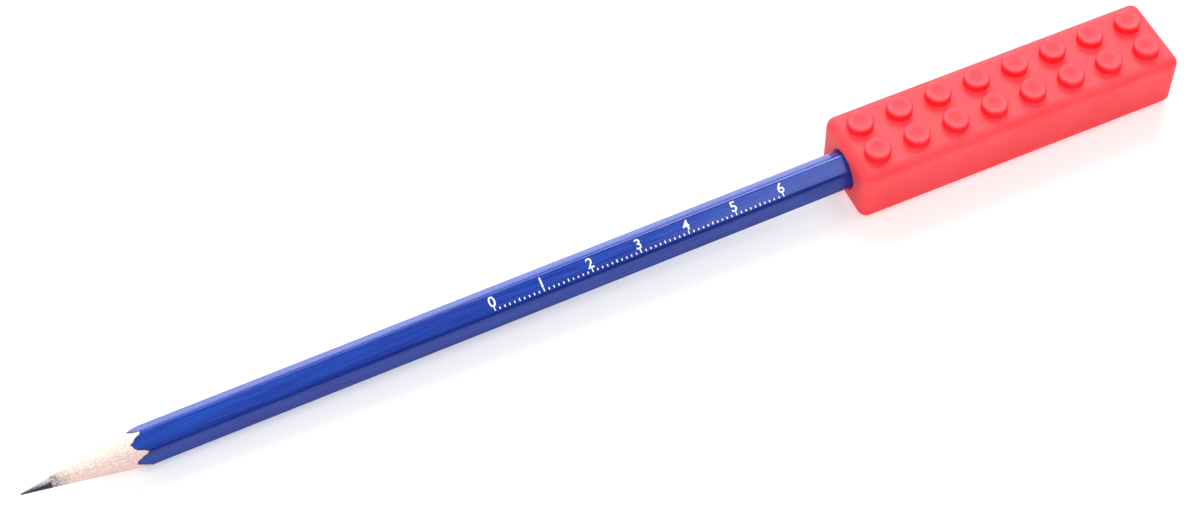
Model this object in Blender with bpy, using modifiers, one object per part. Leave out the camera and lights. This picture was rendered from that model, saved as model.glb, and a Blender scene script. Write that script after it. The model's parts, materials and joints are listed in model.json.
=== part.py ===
"""Chewable pencil topper: a soft studded block whose round socket slips over the end of a hexagonal pencil.

Metres, +Z up. The pencil's tip is at -X, and the topper sits on its +X end, lying flat with its studs up.
The pencil hangs a little in the soft socket, until its ridge meets what the topper lies on.
The origin is under the middle of the whole object, on the plane of the topper's flat base.
"""

import math

import bmesh
import bpy
from mathutils import Matrix

# Topper block
TOPPER_LENGTH = 0.070
TOPPER_WIDTH = 0.0175
TOPPER_HEIGHT = 0.0130
EDGE_RADIUS = 0.0020
EDGE_SEGMENTS = 5

# Studs on the topper
STUDS_LONG = 8
STUDS_ACROSS = 2
STUD_DIAMETER = 0.0052
STUD_HEIGHT = 0.0018
STUD_PITCH = 0.0085
STUD_ROW_PITCH = 0.0071
STUD_RIM_RADIUS = 0.00045
STUD_RIM_FLAT = 0.00025
STUD_DISH_DEPTH = 0.00016
STUD_FOOT_RADIUS = 0.00035
STUD_ROOT = 0.0010
STUD_SEGMENTS = 24
STUD_DISH_STEPS = 3
STUD_RIM_STEPS = 3
STUD_FOOT_STEPS = 2

# Socket in the topper. Its lip is cut square to the block, a little inside the leaning socket's wall
SOCKET_AXIS_HEIGHT = 0.0065
SOCKET_DEPTH = 0.0243
SOCKET_CLEARANCE = 0.00010
SOCKET_LIP_RADIUS = 0.00050
SOCKET_LIP_OVERLAP = 0.00003
SOCKET_SEGMENTS = 48

# Pencil
PENCIL_LENGTH = 0.190
ACROSS_FLATS = 0.0070
CORNER_RADIUS = 0.0010
CORNER_SEGMENTS = 4
SEAT_GAP = 0.00030

# Pencil's layers. The glue seam runs from corner to corner and falls towards -Y
COAT_THICKNESS = 0.00015
COAT_GAP = 0.00005
LEAD_DIAMETER = 0.0020
LEAD_GAP = 0.00005
SEAM_GAP = 0.00010
SEAM_TILT = math.radians(21.3)
LEAD_SEGMENTS = 32

# Sharpened end
CONE_HALF_ANGLE = math.radians(8.8)
TIP_RADIUS = 0.00018
CONE_SEGMENTS = 72

# Cutters run past what they cut by this much
CUT_MARGIN = 0.0010

# How curves are divided, in degrees and steps, and how close two points of a turned shape are to be one
ARC_STEPS = 4
QUARTER_TURN = 90
HALF_TURN = 180
FOOT_FILLET_SWEEP = 60
ROUND_PROFILE = 0.5
WELD_DISTANCE = 0.000001

# Places worked out from the sizes above. A round hole's facets are widened to clear what it holds
HEXAGON_SIDES = 6
HALF_SIDE_ANGLE = math.pi / HEXAGON_SIDES
SEATED_LENGTH = SOCKET_DEPTH - SEAT_GAP
SHOWN_LENGTH = PENCIL_LENGTH - SEATED_LENGTH
CORNER_REACH = (ACROSS_FLATS / 2 - CORNER_RADIUS) / math.cos(HALF_SIDE_ANGLE) + CORNER_RADIUS
SOCKET_RADIUS = (CORNER_REACH + SOCKET_CLEARANCE) / math.cos(math.pi / SOCKET_SEGMENTS)
WOOD_INSET = COAT_THICKNESS + COAT_GAP
LEAD_RADIUS = LEAD_DIAMETER / 2
GROOVE_RADIUS = (LEAD_RADIUS + LEAD_GAP) / math.cos(math.pi / LEAD_SEGMENTS)
CONE_APEX = TIP_RADIUS * (1 - 1 / math.sin(CONE_HALF_ANGLE))

# The pencil hangs about the middle of the mouth until the sharpened end of its ridge is down at z = 0
OVERHANG = SHOWN_LENGTH - CONE_APEX - CORNER_REACH / math.tan(CONE_HALF_ANGLE)
RIDGE_END = math.hypot(OVERHANG, CORNER_REACH)
HANG_ANGLE = math.asin(SOCKET_AXIS_HEIGHT / RIDGE_END) - math.atan2(CORNER_REACH, OVERHANG)
MOUTH_X = (SHOWN_LENGTH * math.cos(HANG_ANGLE) - TOPPER_LENGTH) / 2


def clear_scene():
    """Removes whatever the scene holds, so that the script gives the same result each run."""
    for obj in list(bpy.data.objects):
        bpy.data.objects.remove(obj, do_unlink=True)


def new_collection(name):
    """A collection under the scene's own."""
    collection = bpy.data.collections.new(name)
    bpy.context.scene.collection.children.link(collection)
    return collection


def new_material(name, colour, roughness):
    """A Principled BSDF of one colour. None of these surfaces is metal."""
    material = bpy.data.materials.new(name)
    material.use_nodes = True
    shader = material.node_tree.nodes["Principled BSDF"]
    shader.inputs["Base Color"].default_value = (*colour, 1.0)
    shader.inputs["Roughness"].default_value = roughness
    shader.inputs["Metallic"].default_value = 0.0
    return material


def new_empty(name, collection, matrix):
    """An empty that carries one frame of the assembly."""
    empty = bpy.data.objects.new(name, None)
    empty.matrix_world = matrix
    collection.objects.link(empty)
    return empty


def new_object(name, mesh, collection, parent, material=None):
    """An object at its parent's origin. One without a material is a helper and stays out of the model."""
    obj = bpy.data.objects.new(name, mesh)
    collection.objects.link(obj)
    obj.parent = parent
    if material is None:
        obj.hide_render = True
        obj.display_type = "WIRE"
    else:
        mesh.materials.clear()
        mesh.materials.append(material)
    return obj


def mesh_from(bm, name):
    """A mesh made from a bmesh, which is freed."""
    mesh = bpy.data.meshes.new(name)
    bm.to_mesh(mesh)
    bm.free()
    return mesh


def shade_round(mesh, sharpest_degrees=30):
    """Smooth shading, with the edges sharper than the angle kept crisp."""
    mesh.shade_smooth()
    mesh.set_sharp_from_angle(angle=math.radians(sharpest_degrees))


def arc(centre, radius, start_degrees, end_degrees, steps=ARC_STEPS):
    """Points (r, z) along an arc, both ends included."""
    turned = (end_degrees - start_degrees) / steps
    angles = [math.radians(start_degrees + turned * step) for step in range(steps + 1)]
    return [(centre[0] + radius * math.cos(a), centre[1] + radius * math.sin(a)) for a in angles]


def turned_profile(name, points):
    """A profile in the XZ plane for a Screw about Z. Points (r, z) run from top to bottom."""
    bm = bmesh.new()
    verts = [bm.verts.new((r, 0.0, z)) for r, z in points]
    for first, second in zip(verts, verts[1:]):
        bm.edges.new((first, second))
    return mesh_from(bm, name)


def add_screw(obj, segments):
    """Turns an object's profile about its own Z axis."""
    screw = obj.modifiers.new("Turn", "SCREW")
    screw.axis = "Z"
    screw.steps = segments
    screw.render_steps = segments
    screw.use_merge_vertices = True
    screw.merge_threshold = WELD_DISTANCE
    screw.use_smooth_shade = True


def add_boolean(obj, name, operation, other):
    """Joins, cuts or trims an object with another."""
    boolean = obj.modifiers.new(name, "BOOLEAN")
    boolean.operation = operation
    boolean.object = other
    boolean.solver = "EXACT"


def add_pattern(obj, name, count, step):
    """Repeats an object's mesh at equal steps."""
    pattern = obj.modifiers.new(name, "ARRAY")
    pattern.count = count
    pattern.use_relative_offset = False
    pattern.use_constant_offset = True
    pattern.constant_offset_displace = step
    pattern.use_merge_vertices = False


def stud_profile():
    """Half section of one stud from its dished top to its root in the block, with z = 0 on the block's top.

    The dish is a shallow bowl. The fillet at the foot stops short of a quarter turn, where it would thin to
    nothing on the block.
    """
    side = STUD_DIAMETER / 2
    rim = side - STUD_RIM_RADIUS
    dish_edge = rim - STUD_RIM_FLAT
    dish_floor = STUD_HEIGHT - STUD_DISH_DEPTH
    foot = side + STUD_FOOT_RADIUS
    bowl_radius = (dish_edge ** 2 + STUD_DISH_DEPTH ** 2) / (2 * STUD_DISH_DEPTH)
    bowl_end = math.degrees(math.asin(dish_edge / bowl_radius)) - QUARTER_TURN
    bowl = arc((0.0, dish_floor + bowl_radius), bowl_radius, -QUARTER_TURN, bowl_end, STUD_DISH_STEPS)
    points = [(0.0, dish_floor)] + bowl[1:]
    points += arc((rim, STUD_HEIGHT - STUD_RIM_RADIUS), STUD_RIM_RADIUS, QUARTER_TURN, 0, STUD_RIM_STEPS)
    fillet_end = HALF_TURN + FOOT_FILLET_SWEEP
    points += arc((foot, STUD_FOOT_RADIUS), STUD_FOOT_RADIUS, HALF_TURN, fillet_end, STUD_FOOT_STEPS)
    points += [(points[-1][0], -STUD_ROOT), (0.0, -STUD_ROOT)]
    return points


def bore_profile(radius, top, bottom):
    """Half section of a plain round space."""
    return [(0.0, top), (radius, top), (radius, bottom), (0.0, bottom)]


def lip_profile():
    """Half section of the rounded mouth of the socket, with z running into the block."""
    lip = SOCKET_LIP_RADIUS
    inside = SOCKET_RADIUS - SOCKET_LIP_OVERLAP
    rounded_mouth = arc((inside + lip, lip), lip, HALF_TURN, HALF_TURN + QUARTER_TURN)
    return [(0.0, lip)] + rounded_mouth + [(inside + lip, -CUT_MARGIN), (0.0, -CUT_MARGIN)]


def build_topper(collection, cutters, axis_frame, material):
    """One moulding: a rounded block with studs on top and a blind round socket in its -X end."""
    bm = bmesh.new()
    bmesh.ops.create_cube(bm, size=1.0)
    bmesh.ops.scale(bm, vec=(TOPPER_LENGTH, TOPPER_WIDTH, TOPPER_HEIGHT), verts=bm.verts)
    middle = (TOPPER_LENGTH / 2, 0.0, TOPPER_HEIGHT / 2 - SOCKET_AXIS_HEIGHT)
    bmesh.ops.translate(bm, vec=middle, verts=bm.verts)
    mesh = mesh_from(bm, "topper_body")
    shade_round(mesh)
    topper = new_object("topper_body", mesh, collection, None, material)
    topper.location = (MOUTH_X, 0.0, SOCKET_AXIS_HEIGHT)

    edges = topper.modifiers.new("Rounded edges", "BEVEL")
    edges.width = EDGE_RADIUS
    edges.segments = EDGE_SEGMENTS

    studs = new_object("stud_pattern", turned_profile("stud_pattern", stud_profile()), cutters, topper)
    first_x = (TOPPER_LENGTH - STUD_PITCH * (STUDS_LONG - 1)) / 2
    first_y = -STUD_ROW_PITCH * (STUDS_ACROSS - 1) / 2
    studs.location = (first_x, first_y, TOPPER_HEIGHT - SOCKET_AXIS_HEIGHT)
    add_screw(studs, STUD_SEGMENTS)
    add_pattern(studs, "Along", STUDS_LONG, (STUD_PITCH, 0.0, 0.0))
    add_pattern(studs, "Across", STUDS_ACROSS, (0.0, STUD_ROW_PITCH, 0.0))
    add_boolean(topper, "Studs", "UNION", studs)

    bore = bore_profile(SOCKET_RADIUS, SHOWN_LENGTH + SOCKET_DEPTH, SHOWN_LENGTH - CUT_MARGIN)
    socket = new_object("socket_space", turned_profile("socket_space", bore), cutters, axis_frame)
    add_screw(socket, SOCKET_SEGMENTS)
    add_boolean(topper, "Socket", "DIFFERENCE", socket)

    lip = new_object("socket_lip", turned_profile("socket_lip", lip_profile()), cutters, topper)
    lip.rotation_euler = (0.0, math.pi / 2, 0.0)
    add_screw(lip, SOCKET_SEGMENTS)
    add_boolean(topper, "Lip", "DIFFERENCE", lip)


def hexagon_bar(name, inset, start, end):
    """A hexagonal bar along Z with rounded corners, its sides inside the pencil's by the inset."""
    corner = (ACROSS_FLATS / 2 - inset) / math.cos(HALF_SIDE_ANGLE)
    corner_radius = CORNER_RADIUS - inset
    length = end - start
    bm = bmesh.new()
    bmesh.ops.create_cone(
        bm, cap_ends=True, segments=HEXAGON_SIDES, radius1=corner, radius2=corner, depth=length
    )
    bmesh.ops.rotate(bm, matrix=Matrix.Rotation(HALF_SIDE_ANGLE, 3, "Z"), verts=bm.verts)
    bmesh.ops.translate(bm, vec=(0.0, 0.0, (start + end) / 2), verts=bm.verts)
    long_edges = [e for e in bm.edges if e.calc_length() > length / 2]
    bmesh.ops.bevel(
        bm,
        geom=long_edges,
        affect="EDGES",
        offset_type="OFFSET",
        offset=corner_radius * math.tan(HALF_SIDE_ANGLE),
        segments=CORNER_SEGMENTS,
        profile=ROUND_PROFILE,
        clamp_overlap=True,
    )
    mesh = mesh_from(bm, name)
    shade_round(mesh)
    return mesh


def half_bar(mesh, name):
    """The half of a bar on the +Y side of the glue seam, closed along the cut."""
    bm = bmesh.new()
    bm.from_mesh(mesh)
    cut = bmesh.ops.bisect_plane(
        bm,
        geom=bm.verts[:] + bm.edges[:] + bm.faces[:],
        plane_co=(0.0, SEAM_GAP / 2, 0.0),
        plane_no=(0.0, -1.0, 0.0),
        clear_outer=True,
    )
    seam_edges = [item for item in cut["geom_cut"] if isinstance(item, bmesh.types.BMEdge)]
    bmesh.ops.edgeloop_fill(bm, edges=seam_edges)
    half = mesh_from(bm, name)
    shade_round(half)
    return half


def sharpened_profile(reach, top):
    """Half section of the cone that the sharpener leaves, from a blunt point at z = 0 out to the reach."""
    point = arc((0.0, TIP_RADIUS), TIP_RADIUS, -math.degrees(CONE_HALF_ANGLE), -QUARTER_TURN)
    shoulder_z = CONE_APEX + reach / math.tan(CONE_HALF_ANGLE)
    return [(0.0, top), (reach, top), (reach, shoulder_z)] + point[:-1] + [(0.0, 0.0)]


def build_pencil(collection, cutters, axis_frame, materials):
    """Two grooved slats glued round a lead and painted, then sharpened together to one cone."""
    top = PENCIL_LENGTH
    cut_top = top + CUT_MARGIN
    cut_bottom = -2 * CUT_MARGIN
    stock_bottom = -CUT_MARGIN

    cone = sharpened_profile(CORNER_REACH + CUT_MARGIN, cut_top)
    envelope = new_object("sharpened_envelope", turned_profile("envelope", cone), cutters, axis_frame)
    add_screw(envelope, CONE_SEGMENTS)

    coat_bar = hexagon_bar("lacquer_coat", 0.0, stock_bottom, top)
    coat = new_object("lacquer_coat", coat_bar, collection, axis_frame, materials["lacquer"])
    inner_bar = hexagon_bar("coat_inside", COAT_THICKNESS, cut_bottom, cut_top)
    inner = new_object("coat_inside", inner_bar, cutters, axis_frame)
    add_boolean(coat, "Inside", "DIFFERENCE", inner)
    add_boolean(coat, "Sharpened", "INTERSECT", envelope)

    groove_section = bore_profile(GROOVE_RADIUS, cut_top, cut_bottom)
    groove = new_object("lead_groove", turned_profile("groove", groove_section), cutters, axis_frame)
    add_screw(groove, LEAD_SEGMENTS)

    wood_bar = hexagon_bar("wood_bar", WOOD_INSET, stock_bottom, top)
    half = half_bar(wood_bar, "slat")
    bpy.data.meshes.remove(wood_bar)
    for name, turn in (("upper_slat", 0.0), ("lower_slat", math.pi)):
        slat = new_object(name, half, collection, axis_frame, materials["wood"])
        slat.rotation_euler = (0.0, 0.0, turn)
        add_boolean(slat, "Groove", "DIFFERENCE", groove)
        add_boolean(slat, "Sharpened", "INTERSECT", envelope)

    lead_mesh = turned_profile("graphite_core", sharpened_profile(LEAD_RADIUS, top))
    lead = new_object("graphite_core", lead_mesh, collection, axis_frame, materials["graphite"])
    add_screw(lead, LEAD_SEGMENTS)


def main():
    """Builds the pencil along its own axis frame and the topper on the pencil's end."""
    clear_scene()
    parts = new_collection("chewable_pencil_topper")
    cutters = new_collection("cutters")
    materials = {
        "lacquer": new_material("Blue lacquer", (0.036, 0.080, 0.402), 0.25),
        "wood": new_material("Basswood", (0.870, 0.708, 0.597), 0.75),
        "graphite": new_material("Graphite", (0.150, 0.150, 0.180), 0.45),
    }
    elastomer = new_material("Red elastomer", (0.939, 0.069, 0.080), 0.55)
    mouth = Matrix.Translation((MOUTH_X, 0.0, SOCKET_AXIS_HEIGHT))
    along_pencil = Matrix.Rotation(math.pi / 2 - HANG_ANGLE, 4, "Y")
    tip = Matrix.Translation((0.0, 0.0, -SHOWN_LENGTH))
    roll = Matrix.Rotation(math.pi / 2 + SEAM_TILT, 4, "Z")
    axis_frame = new_empty("pencil_axis", parts, mouth @ along_pencil @ tip @ roll)
    build_pencil(parts, cutters, axis_frame, materials)
    build_topper(parts, cutters, axis_frame, elastomer)


main()
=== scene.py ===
"""Looks of a chewable pencil topper pushed onto the end of a sharpened hexagonal pencil.

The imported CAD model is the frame. Each of its nodes is replaced by a finer piece of the same size in the
same place: the studded silicone moulding, the lacquer with its torn edge, the two grooved halves of the
wooden casing and the lead. A plain foil-stamped scale lies on one face of the lacquer. Metres, +Z up.

The pencil hangs a little in the socket, so its pieces are modelled along X from the middle of the socket's
mouth and are then laid along the hanging axis.
"""

import json
import logging
import math
from contextlib import contextmanager
from dataclasses import dataclass, field
from enum import Enum
from typing import Any, Callable, Iterator

import bmesh
import bpy
from bpy.types import Material, Node, NodeSocket, NodeTree, Object
from mathutils import Matrix, Vector, noise


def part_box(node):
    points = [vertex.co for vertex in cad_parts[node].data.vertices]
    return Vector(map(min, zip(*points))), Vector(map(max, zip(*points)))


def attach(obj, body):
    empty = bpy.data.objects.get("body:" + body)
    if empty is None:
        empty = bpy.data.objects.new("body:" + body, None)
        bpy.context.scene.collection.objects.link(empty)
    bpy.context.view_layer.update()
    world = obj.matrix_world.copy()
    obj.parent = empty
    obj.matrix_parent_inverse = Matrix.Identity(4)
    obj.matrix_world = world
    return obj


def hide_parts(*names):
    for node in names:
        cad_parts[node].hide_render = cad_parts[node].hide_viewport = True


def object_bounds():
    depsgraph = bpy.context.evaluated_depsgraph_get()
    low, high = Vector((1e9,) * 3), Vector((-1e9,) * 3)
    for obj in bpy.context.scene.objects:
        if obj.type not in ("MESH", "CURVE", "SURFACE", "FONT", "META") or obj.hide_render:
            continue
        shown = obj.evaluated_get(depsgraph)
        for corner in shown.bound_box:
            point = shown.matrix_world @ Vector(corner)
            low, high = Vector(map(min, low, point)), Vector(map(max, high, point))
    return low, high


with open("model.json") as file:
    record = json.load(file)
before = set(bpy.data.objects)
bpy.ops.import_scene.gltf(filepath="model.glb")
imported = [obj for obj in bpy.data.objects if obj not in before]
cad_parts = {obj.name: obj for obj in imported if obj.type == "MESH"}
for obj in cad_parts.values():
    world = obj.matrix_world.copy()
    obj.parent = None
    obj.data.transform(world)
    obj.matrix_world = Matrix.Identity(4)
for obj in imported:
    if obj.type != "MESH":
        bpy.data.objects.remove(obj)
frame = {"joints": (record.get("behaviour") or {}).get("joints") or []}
CAD_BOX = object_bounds()

Span = tuple[float, float]
Place = tuple[float, float, float]
Unevenness = Callable[[Vector, float], float]

LOG = logging.getLogger("pencil_topper")
MM = 0.001
TOUCHING = 0.002 * MM
NEAR = 5 * TOUCHING
CUT_TOLERANCE = 0.0001 * MM
QUARTER_TURN = math.pi / 2
HEXAGON = 6
HALF_SIDE = math.pi / HEXAGON

# Up and back across the pencil: painted light falls on this side, and painted shade on the other
UPPER_BACK = (0.0, 0.82, 0.57)

# The two colour sockets of a Mix node
MIX_A = 6
MIX_B = 7


class Combine(Enum):
    """What a Boolean does to a piece with its tool."""

    JOIN = "UNION"
    CUT = "DIFFERENCE"
    TRIM = "INTERSECT"


class Pick(Enum):
    """The kind of mesh element that a selection holds."""

    CORNERS = "VERT"
    EDGES = "EDGE"
    FACES = "FACE"


class Half(Enum):
    """The two slats of the casing, by the side of the glue seam that they lie on."""

    UPPER = 1.0
    LOWER = -1.0


def close_to(first: float, second: float, within: float = TOUCHING) -> bool:
    """Says whether two lengths are the same, but for rounding."""
    return abs(first - second) <= within


def select_only(piece: Object) -> None:
    """Leaves one piece selected and active."""
    bpy.ops.object.select_all(action="DESELECT")
    piece.select_set(True)
    bpy.context.view_layer.objects.active = piece


def settle(name: str) -> Object:
    """Names the object that was just added and puts its place into its mesh.

    Args:
        name: The piece's name, which its mesh shares.

    Returns:
        The object, at the origin, unturned and unscaled.
    """
    piece = bpy.context.view_layer.objects.active
    piece.name = name
    piece.data.name = name
    select_only(piece)
    bpy.ops.object.transform_apply(location=True, rotation=True, scale=True)
    return piece


def start_shape(name: str, primitive: Callable[..., Any], **sizes: Any) -> Object:
    """Adds one primitive, with nothing else selected, as the start of a piece.

    Args:
        name: The piece's name.
        primitive: The operator that adds the primitive.
        sizes: The operator's settings by name.

    Returns:
        The primitive, with its place in its mesh.
    """
    bpy.ops.object.select_all(action="DESELECT")
    primitive(**sizes)
    return settle(name)


@contextmanager
def edit_mode(piece: Object) -> Iterator[None]:
    """Opens one piece in edit mode for as long as the block lasts.

    Args:
        piece: The piece to work on.
    """
    select_only(piece)
    bpy.ops.object.mode_set(mode="EDIT")
    yield
    bpy.ops.object.mode_set(mode="OBJECT")


def pick(piece: Object, kind: Pick, test: Callable[[Any], bool]) -> None:
    """Selects, in the open piece, the elements that pass a test and nothing else.

    Args:
        piece: The piece that is open in edit mode.
        kind: Whether corners, edges or faces are picked.
        test: Takes one mesh element and says whether it is wanted.
    """
    bpy.ops.mesh.select_mode(type=kind.value)
    bpy.ops.mesh.select_all(action="DESELECT")
    mesh = bmesh.from_edit_mesh(piece.data)
    elements = {Pick.CORNERS: mesh.verts, Pick.EDGES: mesh.edges, Pick.FACES: mesh.faces}[kind]
    for element in elements:
        if test(element):
            element.select_set(True)
    mesh.select_flush_mode()
    bmesh.update_edit_mesh(piece.data)


def pick_edges(piece: Object, test: Callable[[Vector], bool]) -> None:
    """Selects the edges of the open piece whose two ends both pass a test of their place."""
    pick(piece, Pick.EDGES, lambda edge: all(test(corner.co) for corner in edge.verts))


def round_edges(size: float, segments: int) -> None:
    """Rounds the picked edges of the open piece to a radius."""
    bpy.ops.mesh.bevel(
        offset=size, offset_type="OFFSET", segments=segments, affect="EDGES", clamp_overlap=True
    )


def slice_at(point: Vector, normal: Vector, keep_front: bool = False) -> None:
    """Cuts the open piece along a plane.

    Args:
        point: A point of the plane.
        normal: The plane's normal.
        keep_front: Whether only what lies in front of the plane is kept, closed along the cut.
    """
    bpy.ops.mesh.select_all(action="SELECT")
    bpy.ops.mesh.bisect(
        plane_co=point, plane_no=normal, use_fill=keep_front, clear_inner=keep_front, threshold=CUT_TOLERANCE
    )


def apply_modifier(piece: Object, kind: str, **settings: Any) -> None:
    """Puts one modifier on a piece and applies it.

    Args:
        piece: The piece to change.
        kind: The modifier's type, as Blender names it.
        settings: The modifier's settings by name.
    """
    select_only(piece)
    modifier = piece.modifiers.new(kind.title(), kind)
    for name, value in settings.items():
        setattr(modifier, name, value)
    bpy.ops.object.modifier_apply(modifier=modifier.name)


def combine(piece: Object, tool: Object, how: Combine) -> None:
    """Joins, cuts or trims a piece with a tool, which is used up."""
    apply_modifier(piece, "BOOLEAN", operation=how.value, solver="EXACT", object=tool)
    bpy.data.objects.remove(tool, do_unlink=True)


def copy_to(piece: Object, shift: Vector) -> Object:
    """Copies a piece with a mesh of its own, moved by a shift that goes into the mesh."""
    copy = piece.copy()
    copy.data = piece.data.copy()
    copy.data.transform(Matrix.Translation(shift))
    bpy.context.scene.collection.objects.link(copy)
    return copy


def join(pieces: list[Object]) -> Object:
    """Joins several objects into the first of them.

    Args:
        pieces: The objects, of which only the first is left.

    Returns:
        The first object, with all their meshes.
    """
    select_only(pieces[0])
    for piece in pieces[1:]:
        piece.select_set(True)
    bpy.ops.object.join()
    return pieces[0]


def shade_soft(piece: Object) -> None:
    """Shades a piece smooth while its large flats stay flat."""
    select_only(piece)
    bpy.ops.object.shade_smooth()
    apply_modifier(piece, "WEIGHTED_NORMAL", mode="FACE_AREA", weight=50, keep_sharp=True)


def shade_creased(piece: Object, crease: float) -> None:
    """Shades a piece smooth, but for the edges that turn by more than an angle."""
    select_only(piece)
    bpy.ops.object.shade_smooth_by_angle(angle=crease)


def linear_colour(hex_value: str) -> tuple[float, float, float, float]:
    """Turns an sRGB hex value into a linear colour.

    Args:
        hex_value: A colour such as "#3355AA".

    Returns:
        Red, green, blue and full alpha.
    """
    channels = [int(hex_value[start:start + 2], 16) / 255 for start in (1, 3, 5)]
    linear = [c / 12.92 if c <= 0.04045 else ((c + 0.055) / 1.055) ** 2.4 for c in channels]
    return (linear[0], linear[1], linear[2], 1.0)


def set_inputs(node: Node, inputs: dict[str | int, Any]) -> None:
    """Gives a node its inputs.

    Args:
        node: The node.
        inputs: Values by input name or number. A socket is linked, and so is a node, by the first output
            that it has in use. A text is a colour's sRGB hex value.
    """
    for key, value in inputs.items():
        if isinstance(value, Node):
            value = next(output for output in value.outputs if output.enabled)
        if isinstance(value, NodeSocket):
            node.id_data.links.new(value, node.inputs[key])
        elif isinstance(value, str):
            node.inputs[key].default_value = linear_colour(value)
        else:
            node.inputs[key].default_value = value


def add_node(tree: NodeTree, kind: str, inputs: dict[str | int, Any], **settings: Any) -> Node:
    """Adds one node to a tree.

    Args:
        tree: The node tree of a material or a world.
        kind: The shader node's type, as Blender names it after ShaderNode.
        inputs: Its inputs, as set_inputs takes them.
        settings: The node's own settings by name.

    Returns:
        The new node.
    """
    node = tree.nodes.new(f"ShaderNode{kind}")
    for name, value in settings.items():
        setattr(node, name, value)
    set_inputs(node, inputs)
    return node


def new_material(name: str, lie: Matrix | None = None) -> tuple[Material, NodeTree, Node, NodeSocket]:
    """Starts a material.

    Args:
        name: What the finish is.
        lie: How the piece was laid after it was modelled, where its patterns read places from before that.

    Returns:
        The material, its node tree, its Principled BSDF, and the coordinates that its patterns read.
    """
    material = bpy.data.materials.new(name)
    material.use_nodes = True
    tree = material.node_tree
    place = add_node(tree, "TexCoord", {}).outputs["Object"]
    if lie is not None:
        back = lie.inverted()
        straight = add_node(tree, "Mapping", {
            "Vector": place, "Location": back.to_translation(), "Rotation": back.to_euler(),
        })
        place = straight.outputs["Vector"]
    return material, tree, tree.nodes["Principled BSDF"], place


def dress(piece: Object, finishes: list[Material], body: str, node: str | None = None) -> Object:
    """Gives a finished piece its looks and its place in the frame.

    Args:
        piece: The piece.
        finishes: Its materials, in the order of its material slots.
        body: The body that it rides on.
        node: The CAD node that it stands for, if there is one.

    Returns:
        The piece.
    """
    piece.data.materials.clear()
    for finish in finishes:
        piece.data.materials.append(finish)
    if node is not None:
        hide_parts(node)
    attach(piece, body)
    return piece


@dataclass(frozen=True)
class MouldedSilicone:
    """Pigmented silicone from a blasted mould: satin, with light that creeps a little way into it."""

    body_colour: str = "#FC4951"
    pale_colour: str = "#FD525B"
    # Painted shade: the deep red of the studs' sides and the block's foot
    side_colour: str = "#F4252E"
    stud_colour: str = "#FD404A"
    # Painted highlight on the studs' rounded rims
    rim_colour: str = "#FD535D"
    side_start: float = 0.35 * MM
    fade_reach: float = 10.5 * MM
    fade_share: float = 0.6
    mottle: float = 7.0 * MM
    grain: float = 0.22 * MM
    grain_depth: float = 0.010 * MM
    light_reach: float = 2.0 * MM

    def make(self, stud_foot: float, rim_foot: float, dish_floor: float, rim_top: float) -> Material:
        """Makes the material: painted shade on the foot and the studs' sides, a painted highlight on the
        rims.

        Args:
            stud_foot: Height of the block's top, where the studs stand.
            rim_foot: Height where the studs' sides start to round into their rims.
            dish_floor: Height of the floor of the dish in each stud.
            rim_top: Height of the rim round the dish.

        Returns:
            The finished material.
        """
        material, tree, shader, place = new_material("silicone_moulded_satin_red")
        mottle = add_node(tree, "TexNoise", {"Vector": place, "Scale": 1 / self.mottle, "Detail": 3.0})
        tone = add_node(tree, "MapRange", {"Value": mottle, "From Min": 0.35, "From Max": 0.65})
        colour = add_node(tree, "Mix", {
            "Factor": tone, MIX_A: self.body_colour, MIX_B: self.pale_colour,
        }, data_type="RGBA")
        axes = add_node(tree, "SeparateXYZ", {"Vector": place})
        # Painted shade deepens the block's foot and the studs' sides; a painted highlight pales their rims
        zones = (
            (self.fade_reach, 0.0, self.fade_share, "LINEAR", self.side_colour),
            (stud_foot, stud_foot + self.side_start, 1.0, "LINEAR", self.side_colour),
            (rim_foot, dish_floor, 1.0, "SMOOTHSTEP", self.stud_colour),
            (dish_floor, rim_top, 1.0, "SMOOTHSTEP", self.rim_colour),
        )
        for start, end, share, blend, tint in zones:
            rise = add_node(tree, "MapRange", {
                "Value": axes.outputs["Z"], "From Min": start, "From Max": end, "To Max": share,
            }, interpolation_type=blend)
            colour = add_node(tree, "Mix", {"Factor": rise, MIX_A: colour, MIX_B: tint}, data_type="RGBA")
        # The real blast grain is about 0.03 mm, too fine to show, so it is drawn several times as coarse
        grain = add_node(tree, "TexNoise", {"Vector": place, "Scale": 1 / self.grain, "Detail": 4.0})
        bump = add_node(tree, "Bump", {"Height": grain, "Distance": self.grain_depth, "Strength": 0.6})
        gloss = add_node(tree, "MapRange", {"Value": mottle, "To Min": 0.46, "To Max": 0.58})
        set_inputs(shader, {
            "Base Color": colour,
            "Roughness": gloss,
            "Normal": bump,
            "IOR": 1.41,
            "Specular IOR Level": 0.3,
            "Subsurface Weight": 0.6,
            "Subsurface Radius": (1.0, 0.2, 0.15),
            "Subsurface Scale": self.light_reach,
        })
        return material


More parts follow.
